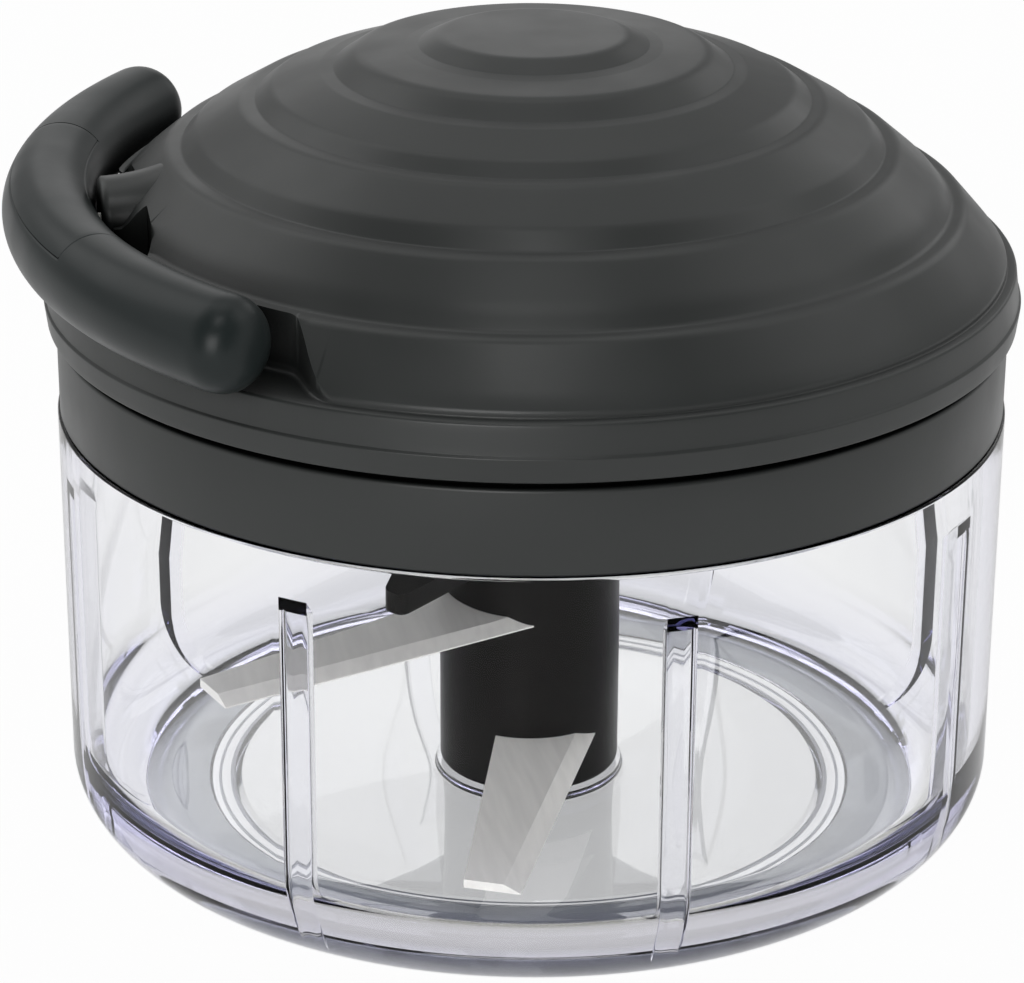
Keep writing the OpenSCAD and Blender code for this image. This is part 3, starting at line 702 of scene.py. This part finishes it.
def make_ring_pad():
    """The non-slip ring, a little clear of its groove, and the thin lips inside it."""
    gap = PAD_GAP
    path = rounded([
        (PAD_IN + gap, 0, 0.3), (PAD_OUT - gap, 0, 0.3), (PAD_OUT - gap, PAD_T - gap, 0.15),
        (PAD_IN + gap, PAD_T - gap, 0.15)
    ])
    paths = [path] + [rounded([
        (r - half, LIP_Z), (r + half, LIP_Z), (r + half, BASE_Z - gap), (r - half, BASE_Z - gap)
    ]) for r, half in PAD_LIPS]
    rings = [loop_mesh(turned([tuple(p) for p in ring], full_turn(RING_COLUMNS))) for ring in paths]
    obj = new_piece("anti_slip_ring", joined(*rings), SILICONE)
    stand_for(obj, "bowl_body", "silicone", "non_slip_ring")


# Lid

def make_lid_base():
    """The lid's ring, plate, plug and bearing as one turned shape."""
    seal_z = PLATE_Z - PLUG_H / 2
    groove_r = PLUG_R - SEAL_GROOVE
    path = rounded([
        (HUB_R, HUB_Z - 1), (BEARING_R, HUB_Z - 1, 0.6), (BEARING_R, PLATE_Z, 1),
        (PLUG_R - PLUG_WALL, PLATE_Z, 1), (PLUG_R - PLUG_WALL, PLATE_Z - PLUG_H, 0.5),
        (PLUG_R, PLATE_Z - PLUG_H, 0.5), (PLUG_R, seal_z - SEAL_H / 2, 0.1),
        (groove_r, seal_z - SEAL_H / 2, 0.1), (groove_r, seal_z + SEAL_H / 2, 0.1),
        (PLUG_R, seal_z + SEAL_H / 2, 0.1), (PLUG_R, PLATE_Z, 0.3), (RING_R - RING_WALL, PLATE_Z, 0.3),
        (RING_R - RING_WALL, BOWL_H, 0.3), (RING_R, BOWL_H, 0.5), (RING_R, RING_TOP, 0.6),
        (RING_R - RING_WALL, RING_TOP, 0.4), (RING_R - RING_WALL, PLATE_TOP, 0.3),
        (BEARING_R, PLATE_TOP, 1), (BEARING_R, THRUST_Z, 0.5), (HUB_R, THRUST_Z)
    ], 4)
    shape = loop_mesh(turned([tuple(p) for p in path], full_turn(RING_COLUMNS)))
    obj = new_piece("lid_ring", shape, DARK, sharp=40)
    stand_for(obj, "lid_body", "dark_plastic", "lid_base")


def step_foot(i):
    """Foot of the riser of the dome's step number i, counted from the top."""
    return STEP_R[i] + RISER_W[i], DOME_Z + STEP_Z[i] - RISER_H[i]


def dome_top_path():
    """Path of the dome's outside, from near its top down to where the handle's recess may begin."""
    path = [(0, DOME_Z + STEP_Z[0] + TOP_CROWN)]
    for i, (r, z) in enumerate(zip(STEP_R[:-1], STEP_Z)):
        foot_r, foot_z = step_foot(i)
        path.append((r, DOME_Z + z, EDGE_ROUND))
        path.append((foot_r, foot_z, RISER_ROUND))
        path.append((foot_r + STEP_LEDGE, foot_z - LEDGE_FALL, LEDGE_ROUND))
    ledge_r, ledge_z = path[-1][:2]
    share = (CUT_R - ledge_r) / (STEP_R[-1] - ledge_r)
    path.append((CUT_R, ledge_z + share * (DOME_Z + STEP_Z[-1] - ledge_z)))
    return filled(rounded(path, 6, closed=False), DOME_GAP)[1:]


def skirt_path():
    """Path of the dome's outside, from the ledge under the handle down to its lower edge."""
    path = [
        (SHOULDER_END, LEDGE_TOP), (DOME_R - 0.8, LEDGE_TOP - 0.2, 0.6),
        (DOME_R - 0.3, DOME_Z + SKIRT_LINE_Z + 0.3, 0.1), (DOME_R, DOME_Z + SKIRT_LINE_Z, 0.3),
        (DOME_R - 0.4, DOME_Z, 0.4), (DOME_R - 2, DOME_Z)
    ]
    return filled(rounded(path, 6, closed=False), DOME_GAP)[1:]


def recess_wall(angles):
    """Radius of the wall behind the handle at each angle; past the recess it lies at the shoulder's foot."""
    turn = np.abs(np.degrees(angles) - 180)
    side = RECESS_R * np.sin(np.radians(turn)) - NOZZLE_R - NOZZLE_CLEAR
    hollow = (RECESS_R - FINGER_D) / np.cos(np.radians(np.minimum(turn, FINGER_TURN)))
    in_hollow = smooth(side / FINGER_START) * smooth((FINGER_W + FINGER_PAST - side) / FINGER_FADE)
    wall = RECESS_R + (np.minimum(hollow, RECESS_R) - RECESS_R) * in_hollow
    start, end = RECESS_END
    return wall + (WALL_MAX - wall) * smooth((turn - start) / (end - start))


def along(path, r):
    """Points at radii r on a path of (radius, height) points."""
    path = np.array(path)
    return np.stack([r, np.interp(r, path[:, 0], path[:, 1])], -1)


def eased(corners, rounding, steps=5):
    """Rows of points along a path, given as its corners at each angle, with the inner corners rounded."""
    rows = []
    for before, at, after, radius in zip(corners, corners[1:], corners[2:], rounding):
        back, on = before - at, after - at
        back_l = np.maximum(np.linalg.norm(back, axis=-1), 1e-6)
        on_l = np.maximum(np.linalg.norm(on, axis=-1), 1e-6)
        cut = np.minimum(radius, CORNER_SHARE * np.minimum(back_l, on_l))
        start = at + back * (cut / back_l)[:, None]
        end = at + on * (cut / on_l)[:, None]
        for t in np.linspace(0, 1, steps + 1):
            rows.append(start * (1 - t) ** 2 + 2 * at * t * (1 - t) + end * t * t)
    return rows


def shoulder_rows(angles, start):
    """Rows of the last step, the shoulder and the handle's recess, as (radius, height) at each angle."""
    foot = step_foot(-1)
    ledge = (foot[0] + STEP_LEDGE, foot[1] - LEDGE_FALL)
    plain = [start, (STEP_R[-1], DOME_Z + STEP_Z[-1]), foot, ledge,
             (DOME_R - SHOULDER_IN, DOME_Z + SHOULDER_Z), (SHOULDER_END, LEDGE_TOP)]
    wall = recess_wall(angles)
    corners = [along(plain, np.minimum(p[0], wall)) for p in plain]
    corners.append(np.stack([wall, np.full_like(wall, LEDGE_TOP)], -1))
    corners.append(np.stack([np.full_like(wall, SHOULDER_END), np.full_like(wall, LEDGE_TOP)], -1))
    return eased(corners, SHOULDER_CUTS)


def dome_outside(angles):
    """Grid of points on the dome's outside, from near its top down to its lower edge."""
    top = dome_top_path()
    rows = np.array(shoulder_rows(angles, tuple(top[-1])))
    r, z = rows[..., 0], rows[..., 1]
    shoulder = np.stack([r * np.cos(angles), r * np.sin(angles), z], -1)
    return np.concatenate([turned(top, angles), shoulder, turned(skirt_path(), angles)])


def dome_inside_path():
    """Path of the dome's inside, from its lip up to near the middle."""
    lip_r = RING_R - RING_WALL - SLIDE_GAP
    lip_in = lip_r - DOME_WALL
    path = [(lip_r, DOME_Z), (lip_r, PLATE_TOP, 0.3), (lip_in, PLATE_TOP, 0.3)]
    path.append((lip_in, DOME_Z + SHOULDER_Z - 0.6 * DOME_WALL, 2))
    for r, z, width, height in reversed(list(zip(STEP_R, STEP_Z, RISER_W, RISER_H))):
        path.append((r + width - 0.6 * DOME_WALL, DOME_Z + z - height - DOME_WALL))
    path.append((0.5, DOME_Z + STEP_Z[0] - RISER_H[0] - DOME_WALL))
    return filled(rounded(path, 4, closed=False), DOME_GAP)


def dome_angles():
    """Angles round the dome, close together where the handle's recess is."""
    half = 60
    fine_step = 0.3
    near = np.arange(-half, half, fine_step)
    far = np.linspace(half, 360 - half, 200, endpoint=False)
    return np.radians(180 + np.concatenate([near, far]))


def nozzle_shape():
    """Flared tube along -X from the dome to the handle, with the eyelet's bore in its mouth."""
    reach = NOZZLE_END - NOZZLE_FLARE_AT
    xs = np.linspace(NOZZLE_ROOT, NOZZLE_END - NOZZLE_LIP, 16)
    outside = [(NOZZLE_R + NOZZLE_FLARE * ((NOZZLE_END - x) / reach) ** 2, x) for x in xs]
    mouth = [(NOZZLE_R - NOZZLE_LIP, NOZZLE_END), (EYELET_R, NOZZLE_END), (EYELET_R, NOZZLE_ROOT)]
    verts, faces = loop_mesh(turned(outside + mouth, full_turn(72)))
    lying = np.stack([-verts[:, 2], verts[:, 1], verts[:, 0] + GRIP_Z], -1)
    return lying, faces


def make_dome():
    """The dome as a shell, its inside kept clear of the handle's recess, and the nozzle."""
    angles = dome_angles()
    outside = dome_outside(angles)
    inside = turned(dome_inside_path(), angles)
    inner_r = np.hypot(inside[..., 0], inside[..., 1])
    room = (recess_wall(angles) - DOME_WALL) / np.maximum(inner_r, 1)
    above = inside[..., 2] > LEDGE_TOP - DOME_WALL
    inside[..., :2] *= np.where(above, np.minimum(room, 1), 1)[..., None]
    shell = capped_mesh(np.concatenate([outside, inside]))
    obj = new_piece("dome_shell", joined(shell, nozzle_shape()), DARK, sharp=50)
    stand_for(obj, "lid_body", "dark_plastic", "dome_cover")


# Handle

def swept(sections):
    """Vertices and faces of sections along the handle's arc; each is (angle, points of (outwards, up))."""
    rings = []
    for angle, section in sections:
        a = math.radians(angle)
        r = HANDLE_ARC + section[:, 0]
        rings.append(np.stack([ARC_X - r * np.cos(a), r * np.sin(a), GRIP_Z + section[:, 1]], -1))
    return capped_mesh(np.array(rings))


def arc_degrees(length):
    """Angle that a length along the handle takes up."""
    return math.degrees(length / HANDLE_ARC)


def shrunk(section, inset):
    """Section drawn in by an inset towards its middle."""
    middle = (section.max(0) + section.min(0)) / 2
    half = (section.max(0) - section.min(0)) / 2
    return middle + (section - middle) * (half - inset) / half


def tube_section(points):
    """Round section of the handle."""
    t = full_turn(points)
    return HANDLE_R * np.stack([np.cos(t), np.sin(t)], -1)


def cover_section():
    """Section of the cover over the middle of the handle, above the lengthwise seam."""
    seam = math.asin(SEAM_Z / HANDLE_R)
    t = np.linspace(seam + SEAM_EDGE_TURN, math.pi - seam - SEAM_EDGE_TURN, 28)
    arc = HANDLE_R * np.stack([np.cos(t), np.sin(t)], -1)
    reach = HANDLE_R * math.cos(seam) - SEAM_EDGE_IN
    flat = np.array([(x, SEAM_Z + SEAM_GAP) for x in np.linspace(-reach, reach, 8)])
    return np.concatenate([arc, flat])


def make_cover():
    """The cover over the middle of the handle, drawn in along its seams."""
    section = cover_section()
    half = SEAM_HALF - arc_degrees(SEAM_GAP)
    starts = [(-half + arc_degrees(s), shrunk(section, inset)) for s, inset in SEAM_STEPS]
    middle = [(a, section) for a in np.linspace(-half + 1, half - 1, 40)]
    ends = [(half - arc_degrees(s), shrunk(section, inset)) for s, inset in reversed(SEAM_STEPS)]
    obj = new_piece("grip_cover", swept(starts + middle + ends), HANDLE, sharp=50)
    stand_for(obj, "handle_body", "handle_plastic", "grip_upper")


def end_sections(section):
    """Sections of the round cap at one end of the handle, from the tube to the tip."""
    made = []
    for t in np.linspace(0, math.pi / 2, 24)[1:-1]:
        share = math.cos(t) ** (2 / CAP_POWER)
        along = math.sin(t) ** (2 / CAP_POWER) * CAP_L
        made.append((HANDLE_HALF + arc_degrees(along), section * share))
    return made


def make_handle_body():
    """The handle with both its ends, cut down to the lengthwise seam where the cover lies."""
    section = tube_section(96)
    flat = np.stack([section[:, 0], np.minimum(section[:, 1], SEAM_Z)], -1)
    tube = [(a, section) for a in np.linspace(SEAM_HALF, HANDLE_HALF, 24)]
    after = tube + end_sections(section)
    before = [(-a, s) for a, s in reversed(after)]
    middle = [(a, flat) for a in np.linspace(-SEAM_HALF, SEAM_HALF, 40)]
    obj = new_piece("handle_shell", swept(before + middle + after), HANDLE, sharp=50)
    stand_for(obj, "handle_body", "handle_plastic", "grip_lower", "handle_end_front", "handle_end_back")


def make_cord_lead():
    """Cord between nozzle and knot."""
    start, end = -NOZZLE_END + CORD_IN_NOZZLE, -HANDLE_AT + CORD_IN_HANDLE
    xs = np.linspace(start, end, 9)
    t = full_turn(20)
    across, up = CORD_R * np.cos(t), GRIP_Z + CORD_R * np.sin(t)
    rings = [np.stack([np.full_like(t, x), across, up], -1) for x in xs]
    obj = new_piece("pull_cord", capped_mesh(np.array(rings)), CORD)
    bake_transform(obj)
    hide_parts("cord_lead")


# Stage: floor, lamps, world and camera

CAMERA_AZIMUTH = -11.6
CAMERA_AWAY = 452.4
CAMERA_Z = 232.6
CAMERA_PITCH = 22.77
CAMERA_YAW = 0.32
CAMERA_ROLL = 0.28
FOCAL_PIXELS = 3601.6
IMAGE_WIDTH = 1024
SENSOR_WIDTH = 36

# The studio's pole is lifted from the horizon; its levels run from the far side of the pole to the pole
POLE_LIFT = 41
STUDIO_LEVELS = ((0.0, 0.3), (0.5, 0.4), (0.62, 0.92), (0.83, 0.03), (1.0, 0.02))
FLOOR_HALF = 6.0
FLOOR_WHITE = 0.97
FLOOR_GLOSS = 0.43

# Lamps: name, place and width in metres, power in watts
LAMP_TARGET = Vector((0, 0, 0.05))
LAMPS = (
    ("right_box", (0.75, -0.15, 0.95), 0.6, 0.7),
    ("front_box", (-0.4, -0.9, 0.36), 0.5, 3.6),
    ("top_front_box", (-0.1, -0.45, 1.1), 0.35, 1.2),
    ("top_box", (0.0, 0.15, 1.2), 0.6, 0.6),
    ("back_left_box", (-0.6, 0.65, 0.8), 0.7, 1.2),
    ("back_right_box", (0.8, 0.65, 0.54), 0.5, 0.6),
    ("back_box", (0.1, 0.95, 0.6), 0.6, 0.35),
    ("back_low_box", (0.05, 1.0, 0.28), 0.5, 0.25),
)


def make_camera():
    """The camera that was fitted to the photo."""
    data = bpy.data.cameras.new("camera")
    data.sensor_width = SENSOR_WIDTH
    data.lens = FOCAL_PIXELS / IMAGE_WIDTH * SENSOR_WIDTH
    data.clip_start = 0.01
    obj = bpy.data.objects.new("camera", data)
    az = math.radians(CAMERA_AZIMUTH)
    place = Vector((CAMERA_AWAY * math.sin(az), -CAMERA_AWAY * math.cos(az), CAMERA_Z)) * MM
    turn = Matrix.Rotation(az + math.radians(CAMERA_YAW), 4, "Z")
    tilt = Matrix.Rotation(math.radians(90 - CAMERA_PITCH), 4, "X")
    roll = Matrix.Rotation(math.radians(CAMERA_ROLL), 4, "Z")
    obj.matrix_world = Matrix.Translation(place) @ turn @ tilt @ roll
    bpy.context.scene.collection.objects.link(obj)
    bpy.context.scene.camera = obj


def highest(tree, *sockets):
    """The highest of several numbers."""
    found = sockets[0]
    for socket in sockets[1:]:
        made = tree.nodes.new("ShaderNodeMath")
        made.operation = "MAXIMUM"
        tree.links.new(found, made.inputs[0])
        tree.links.new(socket, made.inputs[1])
        found = made.outputs[0]
    return found


def front_dim(tree):
    """Brightness of the studio by direction: brightest in a band round a pole in front of the object and
    above it, less bright behind, and dark about the pole itself.
    """
    az = math.radians(CAMERA_AZIMUTH)
    lift = math.radians(POLE_LIFT)
    pole = (math.cos(lift) * math.sin(az), -math.cos(lift) * math.cos(az), math.sin(lift))
    place = tree.nodes.new("ShaderNodeTexCoord")
    facing = tree.nodes.new("ShaderNodeVectorMath")
    facing.operation = "DOT_PRODUCT"
    facing.inputs[1].default_value = pole
    tree.links.new(place.outputs["Generated"], facing.inputs[0])
    spread = tree.nodes.new("ShaderNodeMapRange")
    spread.inputs["From Min"].default_value = -1
    spread.inputs["From Max"].default_value = 1
    tree.links.new(facing.outputs["Value"], spread.inputs["Value"])
    ramp = tree.nodes.new("ShaderNodeValToRGB")
    set_stops(ramp, [(position, (level, level, level)) for position, level in STUDIO_LEVELS])
    tree.links.new(spread.outputs["Result"], ramp.inputs["Fac"])
    return ramp.outputs["Color"]


def make_world():
    """Studio light, and white where it is seen behind the object or through it."""
    world = bpy.data.worlds.new("studio")
    bpy.context.scene.world = world
    world.use_nodes = True
    tree = world.node_tree
    tree.nodes.clear()
    light = tree.nodes.new("ShaderNodeBackground")
    light.inputs["Strength"].default_value = 1.0
    tree.links.new(front_dim(tree), light.inputs["Color"])
    white = tree.nodes.new("ShaderNodeBackground")
    white.inputs["Color"].default_value = (1, 1, 1, 1)
    white.inputs["Strength"].default_value = 1.0
    mix = tree.nodes.new("ShaderNodeMixShader")
    out = tree.nodes.new("ShaderNodeOutputWorld")
    path = tree.nodes.new("ShaderNodeLightPath")
    seen = highest(tree, path.outputs["Is Camera Ray"], path.outputs["Is Transmission Ray"])
    tree.links.new(seen, mix.inputs["Fac"])
    tree.links.new(light.outputs[0], mix.inputs[1])
    tree.links.new(white.outputs[0], mix.inputs[2])
    tree.links.new(mix.outputs[0], out.inputs["Surface"])


def scaled(tree, socket, share):
    """A number times a fixed share."""
    made = tree.nodes.new("ShaderNodeMath")
    made.operation = "MULTIPLY"
    made.inputs[1].default_value = share
    tree.links.new(socket, made.inputs[0])
    return made.outputs[0]


def pale_floor():
    """Pale floor, almost all white of its own where it is seen, so that only a trace of shadow shows."""
    material = bpy.data.materials.new("pale_floor")
    material.use_nodes = True
    tree = material.node_tree
    main = tree.nodes["Principled BSDF"]
    main.inputs["Base Color"].default_value = (0.9, 0.9, 0.9, 1)
    main.inputs["Roughness"].default_value = 0.9
    main.inputs["Specular IOR Level"].default_value = 0.0
    white = tree.nodes.new("ShaderNodeEmission")
    white.inputs["Strength"].default_value = 1.0
    rays = tree.nodes.new("ShaderNodeLightPath").outputs
    gloss = scaled(tree, rays["Is Glossy Ray"], FLOOR_GLOSS)
    seen = highest(tree, rays["Is Camera Ray"], rays["Is Transmission Ray"], gloss)
    mix = tree.nodes.new("ShaderNodeMixShader")
    tree.links.new(scaled(tree, seen, FLOOR_WHITE), mix.inputs["Fac"])
    tree.links.new(main.outputs[0], mix.inputs[1])
    tree.links.new(white.outputs[0], mix.inputs[2])
    tree.links.new(mix.outputs[0], tree.nodes["Material Output"].inputs["Surface"])
    return material


def make_floor():
    """Wide floor under the object."""
    half = FLOOR_HALF
    mesh = bpy.data.meshes.new("floor")
    corners = [(-half, -half, 0), (half, -half, 0), (half, half, 0), (-half, half, 0)]
    mesh.from_pydata(corners, [], [(0, 1, 2, 3)])
    mesh.materials.append(pale_floor())
    obj = bpy.data.objects.new("floor", mesh)
    bpy.context.scene.collection.objects.link(obj)


def make_lamp(name, place, size, power):
    """Square soft lamp that faces the object."""
    data = bpy.data.lights.new(name, "AREA")
    data.size = size
    data.energy = power
    obj = bpy.data.objects.new(name, data)
    obj.location = Vector(place)
    obj.rotation_euler = (LAMP_TARGET - obj.location).to_track_quat("-Z", "Y").to_euler()
    bpy.context.scene.collection.objects.link(obj)


dress_nodes()
make_bowl()
make_ring_pad()
make_lid_base()
make_dome()
make_cover()
make_handle_body()
make_cord_lead()
make_camera()
make_world()
make_floor()
for lamp in LAMPS:
    make_lamp(*lamp)

bpy.context.scene.view_settings.view_transform = "Standard"
